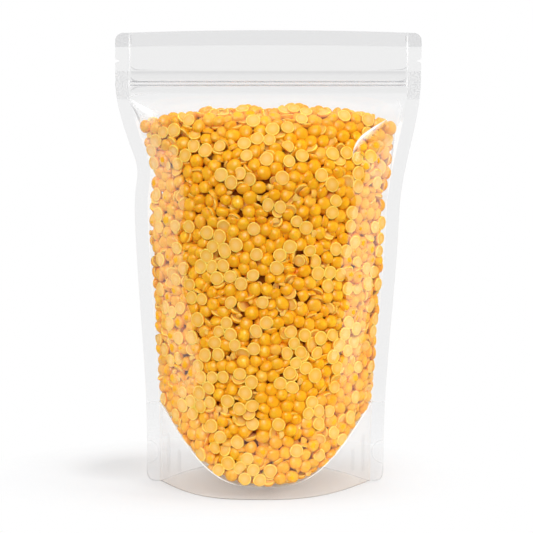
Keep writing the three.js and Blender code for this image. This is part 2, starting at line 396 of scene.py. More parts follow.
DOME_DEEP = linear(245, 175, 8)
DOME_LIGHT = linear(248, 189, 34)
# painted shade: the domes darken to a deep orange towards their edges
DOME_EDGE_SHADE = linear(248, 160, 5)
FACE_DEEP = linear(242, 179, 42)
FACE_PALE = linear(247, 190, 64)
FACE_HEART = linear(248, 207, 126)
RIM_PALE = linear(255, 230, 116)
CHIP_PALE = linear(246, 196, 96)
GRAIN_TINT = linear(214, 130, 30)
# painted shade: peas deeper under the film are multiplied darker and more saturated
DEPTH_PAINTED_SHADE = linear(248, 170, 42)
# painted shade: the dark depth of the heap between the peas
CORE_SHADE_DEEP = linear(140, 62, 6)
CORE_SHADE_LIGHT = linear(190, 98, 12)
# painted light and shade: peas painted on the core's top, lit in their middles and shaded round them
CORE_PEA_PAINTED_SHADE = linear(240, 168, 36)
CORE_PEA_PAINTED_LIGHT = linear(255, 224, 136)
PEA_ATTRIBUTES = ("face", "rim", "edge", "heart", "tone", "pale", "deep")


def pea_material():
    """Waxy deep yellow domes, floury cut faces, paler in the middle and with a broken bright rim; painted
    shade darkens the domes towards their edges and the peas deeper in the heap.
    """
    s = Shader(bpy.data.materials.new("split_pea"))
    face, rim, edge, heart, tone, pale, deep = (s.attribute(key) for key in PEA_ATTRIBUTES)
    mottle = s.noise(520, detail=3, Distortion=0.6)
    grain = s.noise(3200)
    own_tone = s.plus(tone, s.spread(mottle, 0.3, 0.7, -0.3, 0.3), clamp=True)
    # painted shade towards the dome's edge
    dome = s.mix(s.times(edge, 0.6), s.mix(own_tone, DOME_DEEP, DOME_LIGHT), DOME_EDGE_SHADE)
    cut = s.mix(s.spread(heart, 0.02, 0.85, 0.0, 0.7), s.mix(own_tone, FACE_DEEP, FACE_PALE), FACE_HEART)
    colour = s.mix(pale, s.mix(face, dome, cut), CHIP_PALE)
    colour = s.mix(s.times(rim, s.spread(mottle, 0.36, 0.56, 0.4, 0.96)), colour, RIM_PALE)
    colour = s.mix(s.spread(grain, 0.35, 0.75, 0.0, 0.1), colour, GRAIN_TINT, "MULTIPLY")
    # painted shade, by depth under the film
    colour = s.mix(deep, colour, DEPTH_PAINTED_SHADE, "MULTIPLY")
    roughness = s.plus(s.times(face, 0.22), s.spread(mottle, 0.3, 0.7, 0.34, 0.44))
    normal = s.bump(s.plus(grain, s.times(mottle, 2.0)), 0.35, 0.00012)
    surface = s.shade("BsdfPrincipled", Base_Color=colour, Roughness=roughness, Normal=normal,
                      Specular_IOR_Level=0.15, Subsurface_Weight=0.3, Subsurface_Radius=(1.0, 0.4, 0.1),
                      Subsurface_Scale=0.0012)
    return s.finish(surface)


def core_material():
    """Painted shade: the dark depth of the heap, seen through the gaps between peas; at its top, peas painted
    with lit middles.
    """
    s = Shader(bpy.data.materials.new("heap_painted_shade"))
    shade = s.noise(260, detail=4)
    depth = s.mix(s.spread(shade, 0.35, 0.65), CORE_SHADE_DEEP, CORE_SHADE_LIGHT)
    cells = s.shade("TexVoronoi", Vector=s.where(), Scale=175)
    # painted peas: lighter in each cell's middle, darker at its edge
    roundness = s.spread(cells, 0.1, 0.62, 1.0, 0.0)
    colour = s.mix(s.attribute("top"), depth, s.mix(roundness, CORE_PEA_PAINTED_SHADE, CORE_PEA_PAINTED_LIGHT))
    surface = s.shade("BsdfPrincipled", Base_Color=colour, Roughness=0.8, Specular_IOR_Level=0.1,
                      Normal=s.bump(roundness, 0.8, 0.002))
    return s.finish(surface)


FILM_ATTRIBUTES = ("smoke", "grain", "haze_and_reflection", "weld")
FILM_ROUGHNESS = 0.05
FILM_HAZE = 0.001


def film_material(name, clear, smoky):
    """Thin clear film. Its attributes say where it is greyer, crushed, milkier or welded to the next layer;
    on the front the white milkiness is also a painted reflection over the heap's top and upper corners.
    """
    s = Shader(bpy.data.materials.new(name))
    smoke, grain, milky_and_reflection, weld = (s.attribute(key) for key in FILM_ATTRIBUTES)
    crush = s.noise(1500, detail=3, Roughness=0.6)
    crushed = s.times(grain, s.spread(crush, 0.42, 0.6))
    through = s.mix(s.plus(smoke, s.times(crushed, 0.42), clamp=True), clear, smoky)
    normal = s.bump(s.plus(s.times(s.times(crush, grain), 0.6), s.noise(45)), 0.25, 0.0006)
    bare = s.math("SUBTRACT", 1.0, s.times(weld, 0.4), clamp=True)
    pane = s.shade("BsdfTransparent", Color=through)
    gloss = s.shade("BsdfGlossy", Roughness=s.plus(s.times(grain, 0.3), FILM_ROUGHNESS), Normal=normal)
    white = s.shade("BsdfDiffuse", Color=neutral(0.95), Normal=normal)
    sheet = s.blend(s.times(s.mirror(5.0, 0.9, 0.075, Normal=normal), bare), pane, gloss)
    return s.finish(s.blend(s.plus(milky_and_reflection, FILM_HAZE, clamp=True), sheet, white))


def fold_and_highlight_material():
    """Film folded on itself or pressed, whitened or greyed by its attributes and clear at its edges; on the
    folds and seal lines the white is a painted highlight and the grey a painted shade.
    """
    s = Shader(bpy.data.materials.new("film_fold_and_highlight"))
    pane = s.shade("BsdfTransparent", Color=s.mix(s.attribute("smoke"), neutral(1), neutral(0.62, -0.01)))
    body = s.shade("BsdfDiffuse", Color=neutral(0.97))
    share = s.times(s.attribute("white"), s.spread(s.noise(500), 0.3, 0.7, 0.8, 1.1), clamp=True)
    return s.finish(s.blend(share, pane, body))


def bead_material(name, through, share_white, roughness):
    """A fine line of welded, folded or thick film: as white as its attribute says, with some gloss."""
    s = Shader(bpy.data.materials.new(name))
    pane = s.shade("BsdfTransparent", Color=through)
    white = s.shade("BsdfDiffuse", Color=neutral(0.96))
    uneven = s.spread(s.noise(400), 0.3, 0.7, share_white * 0.94, share_white * 1.06)
    body = s.blend(s.times(s.attribute("white"), uneven), pane, white)
    return s.finish(s.blend(s.mirror(4.0, 0.6, 0.08), body, s.shade("BsdfGlossy", Roughness=roughness)))


# ---------------------------------------------------------------- the heap: where each pea lies

WALL_GAP = 0.55  # peas stay this far inside the film
# Layers of peas at the start: least and greatest depth under the nearest wall, and least spacing.
LAYERS = ((1.6, 2.4, 4.7), (4.0, 7.4, 4.7))
HEAP_BOX = ((-72, -38, 4), (72, 38, 190))
TRIES = 1500000
LAYER_TRIES = 60000
PEA_RADIUS = 3.4
SIZE_RANGE = (0.86, 1.12)
SIZE_SPREAD = 0.06
CHIP_SHARE = 0.04
CHIP_RANGE = (0.4, 0.62)
PRESS = 0.05  # how far each round presses every pea outwards, against its nearest wall
ROUNDS = 130
FILL_ROUNDS = 16
MOVE_LIMIT = 0.6  # in one round
TURN_LIMIT = 0.25
TABLE_STEP = 1.0
TABLE_LOW = (-80.0, 0.0)
TABLE_HIGH = (80.0, 200.0)
PAST_END = 60  # how fast the walls close in beyond the seals' inner edges

# A split pea as seven balls: one in its middle and a ring round it, each as x, y, z and radius.
RING_TURNS = np.arange(6) * math.pi / 3
RING_BALLS = np.stack([2.3 * np.cos(RING_TURNS), 2.3 * np.sin(RING_TURNS), 0 * RING_TURNS - 0.15], 1)
BALLS = np.concatenate([[[0, 0, 0.25]], RING_BALLS])
BALL_RADII = np.array([1.42] + [1.1] * len(RING_TURNS))
GYRATION = 1.9
FACE_OUT_SHARE = 0.34
CLOSE_TO_WALL = 3.6  # peas nearer than this lie mostly flat to the film or gusset
WILD_SHARE = 0.55  # peas that lie any way up
TILT_WILD = 5.0
TILT_AT_WALL = 0.2
TILT_INSIDE = 0.5

# Small peas and chips that fill the gaps: depths under the nearest wall, least free radius and sizes.
FILL_TRIES = 60000
FILL_DEPTHS = (0.9, 4.2)
LEAST_ROOM = 0.85
FILL_SIZES = (0.4, 0.95)


def wall_tables():
    """Distance fields over x and z for film, gusset and heap top, each with its two slopes."""
    xs = np.arange(TABLE_LOW[0], TABLE_HIGH[0] + TABLE_STEP, TABLE_STEP)
    zs = np.arange(TABLE_LOW[1], TABLE_HIGH[1] + TABLE_STEP, TABLE_STEP)
    x, z = np.meshgrid(xs, zs, indexing="ij")
    q = share_across(x, z)
    outside = np.maximum(0, np.abs(q) - 1)
    film = np.where(outside > 0, SEAL_HALF - PAST_END * outside, depth_at(q, z)) - WALL_GAP
    floor = seam_at(q) + outside * PAST_END + 0.2
    top = heap_top_at(q) - 0.8 + 0.9 * waves(x, z, 16, 41)
    fields = []
    for table in (film, floor, top):
        fields += [table, *np.gradient(table, TABLE_STEP)]
    return np.stack(fields)


TABLES = wall_tables()


def walls(points):
    """Distance inside each of the three walls, and the direction inwards from it."""
    u = np.clip((points[:, 0] - TABLE_LOW[0]) / TABLE_STEP, 0, TABLES.shape[1] - 1.001)
    v = np.clip((points[:, 2] - TABLE_LOW[1]) / TABLE_STEP, 0, TABLES.shape[2] - 1.001)
    i, j = u.astype(int), v.astype(int)
    a, b = u - i, v - j
    low = TABLES[:, i, j] * (1 - a) + TABLES[:, i + 1, j] * a
    high = TABLES[:, i, j + 1] * (1 - a) + TABLES[:, i + 1, j + 1] * a
    film, film_x, film_z, floor, floor_x, floor_z, top, top_x, top_z = low * (1 - b) + high * b
    side = np.where(points[:, 1] < 0, FRONT, BACK).astype(float)
    one, none = np.ones(len(points)), np.zeros(len(points))
    inside = [film - np.abs(points[:, 1]), points[:, 2] - floor, top - points[:, 2]]
    slopes = [(film_x, -side, film_z), (-floor_x, none, one - floor_z), (top_x, none, top_z - one)]
    distances, inwards = [], []
    for value, slope in zip(inside, slopes):
        slope = np.stack(slope, 1)
        size = np.linalg.norm(slope, axis=1)
        distances.append(value / size)
        inwards.append(slope / size[:, None])
    return np.stack(distances), np.stack(inwards)


def aim(directions, random):
    """Rotations whose third axis is each direction, with a random spin about it."""
    third = directions / np.linalg.norm(directions, axis=1)[:, None]
    first = np.cross(third, random.normal(size=third.shape))
    first /= np.linalg.norm(first, axis=1)[:, None]
    return np.stack([first, np.cross(third, first), third], 2)


def turned(rotations, turns):
    """Rotations turned further by small turns, given as axis times angle."""
    angle = np.linalg.norm(turns, axis=1)
    x, y, z = (turns / np.maximum(angle, 1e-12)[:, None]).T
    o = np.zeros(len(x))
    cross = np.stack([np.stack([o, -z, y], 1), np.stack([z, o, -x], 1), np.stack([-y, x, o], 1)], 1)
    sine, cosine = np.sin(angle)[:, None, None], np.cos(angle)[:, None, None]
    return (np.eye(3) + sine * cross + (1 - cosine) * (cross @ cross)) @ rotations


def lie(places, random):
    """Rotations for peas: mostly flat to film or gusset nearby, face or dome outwards, and wilder inside."""
    count = len(places)
    distances, inwards = walls(places)
    to_film = distances[0] < CLOSE_TO_WALL
    to_wall = to_film | (distances[1] < CLOSE_TO_WALL)
    inward = np.where(to_film[:, None], inwards[0], inwards[1])
    wild = random.random(count) < WILD_SHARE
    tilt = np.where(wild, TILT_WILD, np.where(to_wall, TILT_AT_WALL, TILT_INSIDE))[:, None]
    face_out = np.where(random.random(count) < FACE_OUT_SHARE, 1, -1)[:, None]
    return aim(inward * face_out + tilt * random.normal(size=(count, 3)), random)


def spaced(tries, spacing, kept):
    """Adds to kept the tries, one after another, that lie no nearer than spacing to any kept before."""
    cells = {}
    steps = [(a, b, c) for a in (-1, 0, 1) for b in (-1, 0, 1) for c in (-1, 0, 1)]
    for spot in tries.tolist():
        i, j, k = (int(value // spacing) for value in spot)
        near = [other for a, b, c in steps for other in cells.get((i + a, j + b, k + c), ())]
        if all(math.dist(spot, other) >= spacing for other in near):
            cells.setdefault((i, j, k), []).append(spot)
            kept.append(spot)


def scatter(random):
    """Peas in layers under film and gusset, with their rotations and sizes; a few are only chips."""
    tries = random.uniform(*HEAP_BOX, (TRIES, 3))
    nearest = np.concatenate([walls(part)[0].min(0) for part in np.array_split(tries, 10)])
    places = []
    for low, high, spacing in LAYERS:
        spaced(tries[(nearest > low) & (nearest < high)][:LAYER_TRIES], spacing, places)
    places = np.array(places)
    count = len(places)
    sizes = np.clip(random.normal(1, SIZE_SPREAD, count), *SIZE_RANGE)
    chips = random.random(count) < CHIP_SHARE
    sizes[chips] *= random.uniform(*CHIP_RANGE, chips.sum())
    return places, lie(places, random), sizes


def ball_radii(sizes):
    return BALL_RADII[None] * sizes[:, None]


def ball_arms(rotations, sizes):
    """From each pea's middle to the middles of its balls."""
    return np.einsum("nij,kj->nki", rotations, BALLS) * sizes[:, None, None]


def fill_gaps(places, rotations, sizes, random):
    """Adds small peas and chips where the outer layer has left room for them."""
    balls = (places[:, None] + ball_arms(rotations, sizes)).reshape(-1, 3)
    radii = ball_radii(sizes).ravel()
    tree = KDTree(len(balls))
    for number, ball in enumerate(balls):
        tree.insert(ball, number)
    tree.balance()
    tries = random.uniform(*HEAP_BOX, (FILL_TRIES, 3))
    nearest = walls(tries)[0].min(0)
    tries = tries[(nearest > FILL_DEPTHS[0]) & (nearest < FILL_DEPTHS[1])]
    rooms = [min(gap - radii[number] for _, number, gap in tree.find_n(spot, 5)) for spot in tries]
    added = []
    for spot, room in sorted(zip(tries.tolist(), rooms), key=lambda pair: -pair[1]):
        if room < LEAST_ROOM:
            break
        if all(math.dist(spot, other) > 1.1 * (room + other_room) for other, other_room in added):
            added.append((spot, room))
    spots, rooms = (np.array(values) for values in zip(*added))
    new_sizes = np.clip((rooms + 0.75) / PEA_RADIUS, *FILL_SIZES)
    old_and_new = ((places, spots), (rotations, lie(spots, random)), (sizes, new_sizes))
    return tuple(np.concatenate(pair) for pair in old_and_new)


def near_pairs(places, reach):
    firsts, seconds = [], []
    for start in range(0, len(places), 500):
        gaps = np.linalg.norm(places[start : start + 500, None] - places[None], axis=2)
        first, second = np.nonzero(gaps < reach)
        later = first + start < second
        firsts.append(first[later] + start)
        seconds.append(second[later])
    return np.concatenate(firsts), np.concatenate(seconds)


def lever(arm, push):
    """The turn that a push at the end of an arm gives, and how easily the pea gives way there."""
    turn = np.cross(arm, push) / GYRATION**2
    return turn, 1 + (np.cross(turn, arm) * push).sum(1)


def settle(places, rotations, sizes, rounds, start):
    """Pushes overlapping peas apart and off the walls, while they grow from start to full size."""
    count = len(places)
    middle_balls = np.tile(np.arange(len(BALLS)) == 0, count)
    for step in range(rounds):
        grown = sizes * min(1, start + 2 * (1 - start) * step / rounds)
        if step % 8 == 0:
            first, second = near_pairs(places, 2.25 * PEA_RADIUS + 0.9)
        arms = ball_arms(rotations, grown)
        balls = places[:, None] + arms
        radii = ball_radii(grown)
        reach = 2.1 * PEA_RADIUS * np.maximum(grown[first], grown[second])
        close = np.linalg.norm(places[first] - places[second], axis=1) < reach
        a, b = first[close], second[close]
        apart = balls[a][:, :, None] - balls[b][:, None]
        gaps = np.sqrt((apart**2).sum(3))
        overlap = radii[a][:, :, None] + radii[b][:, None] - gaps
        pair, ball_a, ball_b = np.nonzero(overlap > 0)
        hit = (pair, ball_a, ball_b)
        push = apart[hit] / np.maximum(gaps[hit], 1e-9)[:, None]
        a, b = a[pair], b[pair]
        turn_a, give_a = lever(arms[a, ball_a], push)
        turn_b, give_b = lever(arms[b, ball_b], push)
        share = (overlap[hit] / (give_a + give_b))[:, None]

        distances, inwards = walls(balls.reshape(-1, 3))
        sunk = radii.ravel()[None] - distances
        sunk[2] = np.where(middle_balls, sunk[2], 0)
        wall, ball = np.nonzero(sunk > 0)
        wall_push = inwards[wall, ball]
        turn_wall, give_wall = lever(arms.reshape(-1, 3)[ball], wall_push)
        wall_share = (sunk[wall, ball] / give_wall)[:, None]

        moved = np.concatenate([a, b, ball // len(BALLS)])
        moves = np.concatenate([push * share, -push * share, wall_push * wall_share])
        turns = np.concatenate([turn_a * share, -turn_b * share, turn_wall * wall_share])
        hits = np.maximum(1, np.bincount(moved, minlength=count))
        ease = (1.6 / hits**0.75)[:, None]
        move = np.stack([np.bincount(moved, moves[:, axis], count) for axis in range(3)], 1)
        turn = np.stack([np.bincount(moved, turns[:, axis], count) for axis in range(3)], 1)
        centre_distances, centre_inwards = walls(places)
        outwards = -centre_inwards[centre_distances[:2].argmin(0), np.arange(count)]
        press = PRESS * min(1, 3 * (1 - step / rounds))
        places = places + np.clip(move * ease, -MOVE_LIMIT, MOVE_LIMIT) + outwards * press
        rotations = turned(rotations, np.clip(turn * ease, -TURN_LIMIT, TURN_LIMIT))
    return places, rotations


# ---------------------------------------------------------------- the shape of one pea

DOME_HEIGHT = 2.4
DOME_ROUND = 0.92  # below 1 the dome is fuller than an ellipse
EDGE_HEIGHT = -0.6  # where the dome meets the rounded edge
FACE_HEIGHT = -1.2
FACE_RADIUS = 3.0
FACE_HOLLOW = 0.07
RIM_WIDTH = 0.3


class PeaForm:
    """Rings of points from the top of the dome over the edge to the middle of the cut face."""

    def __init__(self, sides, dome_rings, edge_rings):
        rings = []  # each as radius, height, share of cut face and share of bright rim
        for ring in range(1, dome_rings + 1):
            turn = ring / dome_rings * math.pi / 2
            height = EDGE_HEIGHT + DOME_HEIGHT * max(0, math.cos(turn)) ** DOME_ROUND
            rings.append((PEA_RADIUS * math.sin(turn) ** DOME_ROUND, height, 0.0, 0.0))
        for ring in range(1, edge_rings + 1):
            turn = ring / edge_rings * math.pi / 2
            radius = FACE_RADIUS + (PEA_RADIUS - FACE_RADIUS) * math.cos(turn)
            height = EDGE_HEIGHT - (EDGE_HEIGHT - FACE_HEIGHT) * math.sin(turn)
            rings.append((radius, height, ring / edge_rings, ring / edge_rings))
        rings.append((FACE_RADIUS - RIM_WIDTH, FACE_HEIGHT + FACE_HOLLOW * 0.4, 1.0, 0.0))
        top = (0.0, EDGE_HEIGHT + DOME_HEIGHT, 0.0, 0.0)
        middle = (0.0, FACE_HEIGHT + FACE_HOLLOW, 1.0, 0.0)
        rows = [top, *(ring for ring in rings for _ in range(sides)), middle]
        self.radius, self.height, self.face, self.rim = np.array(rows).T
        turns = np.tile(np.arange(sides) * 2 * math.pi / sides, len(rings))
        self.turn = np.concatenate([[0.0], turns, [0.0]])
        # the share of painted shade towards the dome's edge
        self.edge = (self.radius / PEA_RADIUS) ** 5 * (1 - self.face)
        self.heart = np.append(np.zeros(len(rows) - 1), 1.0)
        self.faces = self.join(sides, len(rings))

    @staticmethod
    def join(sides, rings):
        i = np.arange(sides)
        j = (i + 1) % sides
        last = 1 + sides * rings
        parts = [np.stack([0 * i, 1 + i, 1 + j], 1)]
        for upper in range(1, last - sides, sides):
            lower = upper + sides
            parts.append(np.stack([upper + i, lower + i, lower + j], 1))
            parts.append(np.stack([upper + i, lower + j, upper + j], 1))
        under = last - sides
        parts.append(np.stack([under + i, 0 * i + last, under + j], 1))
        return np.concatenate(parts)


CHIP_SIZE = 0.68  # smaller pieces than this share of a whole pea are chips
OUTER_DEPTH = 4.4  # peas whose middle lies no deeper than this are the ones that show
FINE_PEA = PeaForm(16, 5, 2)
PLAIN_PEA = PeaForm(12, 2, 1)


class Kind(NamedTuple):
    """How one kind of pea differs from a round one; lengths in millimetres."""

    share: float = 1.0
    flatten: float = 1.0
    oval: float = 0.03
    dent: float = 0.0
    notch: float = 0.0


KINDS = {
    "peas_round": Kind(0.3),
    "peas_shallow": Kind(0.22, flatten=0.82),
    "peas_oval": Kind(0.2, flatten=0.95, oval=0.09),
    "peas_dented": Kind(0.18, dent=0.32),
    "peas_notched": Kind(0.1, notch=2.5),
}
CHIP = Kind(flatten=0.8, oval=0.14, notch=2.0)


def pea_points(form, kind, places, rotations, sizes, random):
    """The points of all peas of one kind: the form made uneven for each, turned and put in its place."""
    count = len(places)

    def draw(low, high):
        return random.uniform(low, high, (count, 1))

    phase_2, phase_3, phase_lean = random.uniform(0, 2 * math.pi, (3, count, 1))
    oval = kind.oval * draw(0.4, 1.3)
    wobble = 1 + oval * np.cos(2 * form.turn + phase_2) + 0.018 * np.cos(3 * form.turn + phase_3)
    x = form.radius * wobble * np.cos(form.turn)
    y = form.radius * wobble * np.sin(form.turn)
    upper = np.maximum(0, form.height - EDGE_HEIGHT)
    height = kind.flatten * draw(0.9, 1.08)
    z = np.minimum(form.height, EDGE_HEIGHT) + upper * height
    leaning = 0.1 * upper**1.5 * random.random((count, 1))
    x = x + leaning * np.cos(phase_lean)
    y = y + leaning * np.sin(phase_lean)
    if kind.dent:
        turn = draw(0, 2 * math.pi)
        reach = draw(0.3, 1.7)
        away = (x - reach * np.cos(turn)) ** 2 + (y - reach * np.sin(turn)) ** 2
        z = z - kind.dent * draw(0.5, 1.4) * np.exp(-away / 1.1) * (form.height > EDGE_HEIGHT)
    if kind.notch:
        turn = draw(0, 2 * math.pi)
        limit = kind.notch * draw(0.75, 1.05) - 0.12 * upper
        beyond = np.maximum(0, x * np.cos(turn) + y * np.sin(turn) - limit)
        x = x - beyond * np.cos(turn)
        y = y - beyond * np.sin(turn)
    local = np.stack(np.broadcast_arrays(x, y, z), 2) * sizes[:, None, None]
    return (places[:, None] + np.einsum("nij,nvj->nvi", rotations, local)).reshape(-1, 3)


def pea_piece(name, form, kind, chosen, heap, material, random):
    places, rotations, sizes, tones, pale = (values[chosen] for values in heap)
    count = len(places)
    points = pea_points(form, kind, places, rotations, sizes, random)
    starts = np.arange(count) * len(form.turn)
    faces = (form.faces[None] + starts[:, None, None]).reshape(-1, 3)
    attributes = {key: np.tile(getattr(form, key), count) for key in ("face", "rim", "edge", "heart")}
    attributes["tone"] = np.repeat(tones, len(form.turn))
    attributes["pale"] = np.repeat(pale, len(form.turn))
    # the share of painted shade, from how deep each point lies under the film
    attributes["deep"] = ramp(walls(points)[0].min(0), 1.6, 4.6)
    return make_piece(name, points, faces, material, attributes)


def make_peas(material):
    random = np.random.default_rng(7)
    places, rotations, sizes = scatter(random)
    places, rotations = settle(places, rotations, sizes, ROUNDS, 0.7)
    places, rotations, sizes = fill_gaps(places, rotations, sizes, random)
    places, rotations = settle(places, rotations, sizes, FILL_ROUNDS, 0.9)
    count = len(places)
    chips = sizes < CHIP_SIZE
    tones = np.clip(random.normal(0.45, 0.26, count), 0, 1)
    pale = np.clip(random.normal(-0.3, 0.3, count), 0, 0.4) + chips * random.uniform(0.3, 0.8, count)
    outer = walls(places)[0].min(0) < OUTER_DEPTH
    draw = random.random(count)
    batches = []
    low = 0.0
    for name, kind in KINDS.items():
        batches.append((name, FINE_PEA, kind, outer & ~chips & (draw >= low) & (draw < low + kind.share)))
        low += kind.share
    batches.append(("pea_chips", FINE_PEA, CHIP, outer & chips))
    batches.append(("peas_inner", PLAIN_PEA, KINDS["peas_round"], ~outer))
    heap = (places, rotations, sizes, tones, pale)
    return [pea_piece(*batch, heap, material, random) for batch in batches]


# ---------------------------------------------------------------- the core of the heap

CORE_INSET = 7.2
CORE_REACH = 0.84
CORE_ROWS = 48
CORE_COLUMNS = 40


def make_core(material):
    """A closed dark pillow behind the peas that show, put where there is only shade; its top carries painted
    peas.
    """
    v, u = np.meshgrid(np.linspace(0, 1, CORE_ROWS), np.linspace(-1, 1, CORE_COLUMNS), indexing="ij")
    q = u * CORE_REACH
    z = lerp(seam_at(q) + CORE_INSET, heap_top_at(q) - CORE_INSET, v)
    edge = np.minimum(np.minimum(1 - np.abs(u), np.minimum(v, 1 - v) * 3) * 6, 1)
    room = np.maximum(1, depth_at(q, z) - CORE_INSET) * np.sqrt(np.maximum(0, edge) * (2 - edge))
    points, faces = joined([(across_at(q, z), side * room, z) for side in (FRONT, BACK)], (False, True))
    # where the material paints lit peas instead of shade
    top = np.tile(ramp(v, 0.88, 0.94).ravel(), 2)
    piece = make_piece("heap_core", points, faces, material, {"top": top})
    weld(piece)
    return piece


# ---------------------------------------------------------------- film

SKIN = 0.2  # half the thickness of a welded seal as it looks
FILM_GAP = 0.12  # the film lies this far outside the form
BELLY_COLUMNS = 125
BELLY_END = 0.985  # the share across the belly where the header starts to close on the seals
SEAL_STEPS = (0, 0.25, 0.7, 1.4, 2.4, 3.2, 4.0, 5.0, 6.0, 6.35)  # from the outer edge to the inner
ROW_STEP = 1.6
# More rows of points: as steps from the edges that need them, in radii round the ribs, and single ones.
NEAR_ROWS = {
    STRIP_LOW: (-0.1, 0.3, 1.2),
    STRIP_HIGH: (-0.3, 0.1, 0.8),
    NOTCH_HEIGHT: (-NOTCH_HALF, 0, NOTCH_HALF),
    TOP_SEAL_LOW: (-1.1, -0.6, -0.1, 0.2),
}
RIB_ROWS = (-1.0, -0.75, -0.4, 0, 0.4, 0.75, 1.0)
SINGLE_ROWS = (0.35, 0.8, 197.6, 198.5, 202.4, 203.4, 204.5, 207.5, 209, 213.5, 215.2, 217, 220.5, 221.4,
               222.6, 223.6, 224.4, 224.8)

# Folds where the flat header meets the full belly: points as x and z, then height and half width.
CREASES = (
    (((-68.3, 192.5), (-63, 188.2), (-56, 183.2)), 0.9, 1.5),
    (((-67.5, 190), (-64, 183.5), (-62, 176)), 0.5, 1.2),
    (((57.8, 181.4), (49.6, 175.9), (43.2, 171.8), (41.6, 166.0)), 0.85, 0.8),
    (((66.5, 192), (66.4, 184.5), (62.9, 177.5)), 0.3, 1.3),
)

# Bands of the film with looks of their own, the last two a painted reflection: the heights where each begins,
# is full, starts to fade and ends.
CRUSHED_ENDS = (192.3, 193, 206, 206.6)
UNDER_STRIP = (183, 188, STRIP_LOW, STRIP_LOW + 0.6)
UPPER_FLANGE = (STRIP_HIGH - 3.4, STRIP_HIGH - 0.3, STRIP_HIGH - 0.1, STRIP_HIGH + 0.4)
LOWER_FLANGE = (STRIP_LOW - 0.2, STRIP_LOW + 0.5, STRIP_HIGH - 3, STRIP_HIGH)
PAINTED_REFLECTION_TOP = (177, 187, 189, 193)
PAINTED_REFLECTION_CORNERS = (140, 176, 189, 193)


def film_rows():
    """Heights of the rows of points, close together over the strip's ribs and the seals' edges."""
    rows = [*np.arange(0, STRIP_LOW - 0.6, ROW_STEP), *SINGLE_ROWS, SIDE_HEIGHT]
    for height, steps in NEAR_ROWS.items():
        rows += [height + step for step in steps]
    for height in TRACK_HEIGHTS:
        rows += [height + TRACK_RADIUS * step for step in RIB_ROWS]
    return sorted(rows)


def crease_relief(x, z, mirror):
    """Height of the folds at each point of the film."""
    relief = 0
    for path, height, half in CREASES:
        nearest = np.full(np.shape(x), 1e9)
        for (ax, az), (bx, bz) in zip(path, path[1:]):
            ax, bx = ax * mirror, bx * mirror
            along = ((x - ax) * (bx - ax) + (z - az) * (bz - az)) / ((bx - ax) ** 2 + (bz - az) ** 2)
            along = np.clip(along, 0, 1)
            nearest = np.minimum(nearest, np.hypot(x - lerp(ax, bx, along), z - lerp(az, bz, along)))
        relief = relief + height * np.exp(-((nearest / half) ** 2))
    return relief


def header_profile(z):
    """How far the header film stands out from the middle plane: unsealed film, strip flange and ribs."""
    flange = STRIP_STEP * band(z, STRIP_LOW - 0.1, STRIP_LOW + 0.3, STRIP_HIGH - 0.3, STRIP_HIGH + 0.1)
    ribs = 0
    for height in TRACK_HEIGHTS:
        ribs = ribs + np.sqrt(np.maximum(0, TRACK_RADIUS**2 - (z - height) ** 2))
    return lerp(HEADER_HALF + flange + ribs, SKIN, ramp(z, TOP_SEAL_LOW - 0.5, TOP_SEAL_LOW + 0.2))


def film_relief(side, x, z):
    """Smooth unevenness of the film: over the belly, in the skirt and in the header."""
    seed = 3 if side == FRONT else 17
    belly = band(z, GUSSET_HEIGHT * 0.3, GUSSET_HEIGHT, STRIP_LOW - 6, STRIP_LOW - 1)
    skirt = (1 - ramp(z, 4, GUSSET_HEIGHT)) * ramp(z, 0.5, 6)
    header = band(z, STRIP_HIGH, STRIP_HIGH + 4, 216, TOP_SEAL_LOW)
    swell = 0.22 * waves(x, z, 34, seed) + 0.13 * waves(x, z, 10, seed + 1)
    return swell * belly + 0.2 * waves(x, z, 26, seed + 2) * skirt + 0.07 * waves(x, z, 30, seed + 3) * header


def film_looks(side, q, z, on_seal, from_edge):
    """What the film's material needs to know at each point."""
    top_band = ramp(z, TOP_SEAL_LOW - 1.1, TOP_SEAL_LOW - 0.6)
    crushed = band(z, *CRUSHED_ENDS) * on_seal
    between = ~on_seal & (np.abs(q) < BELLY_END)
    in_gusset = 1 - ramp(z, GUSSET_HEIGHT - 0.8, GUSSET_HEIGHT + 0.8)
    punched = np.hypot(from_edge, z - PUNCH_HEIGHT) < PUNCH_RADIUS
    ribs = sum(np.exp(-(((z - height) / 0.35) ** 2)) for height in TRACK_HEIGHTS)
    flange_edge = np.exp(-(((z - STRIP_HIGH) / 0.45) ** 2))
    strip = 0.05 * ribs + 0.2 * flange_edge + 0.1 * band(z, *UPPER_FLANGE) + 0.02 * band(z, *LOWER_FLANGE)
    seals = on_seal * (0.012 + 0.025 * in_gusset * ~punched)
    smoke = seals + 0.24 * top_band + 0.03 * crushed + strip * between
    milky_and_reflection = 0.05 * crushed + 0.03 * top_band + 0.01 * on_seal
    if side == FRONT:
        skirt = (0.06 + 0.06 * ramp(np.abs(q), 0.2, 0.8)) * (z < seam_at(q))
        # painted reflection: a white veil over the heap's top rows and its upper corners
        corners = 0.13 * ramp(np.abs(q), 0.66, 0.95) * band(z, *PAINTED_REFLECTION_CORNERS)
        milky_and_reflection = milky_and_reflection + between * (skirt + 0.035 * band(z, *PAINTED_REFLECTION_TOP) + corners)
    grain = crushed + on_seal * (0.45 * top_band + 0.12 + 0.15 * in_gusset)
    welded = on_seal + top_band + 0.5 * ramp(z, STRIP_HIGH, STRIP_HIGH + 1) + 0.9 * band(z, *UNDER_STRIP)
    return {"smoke": np.clip(smoke, 0, 1), "grain": np.clip(grain, 0, 1), "haze_and_reflection": milky_and_reflection,
            "weld": np.clip(welded, 0, 1)}


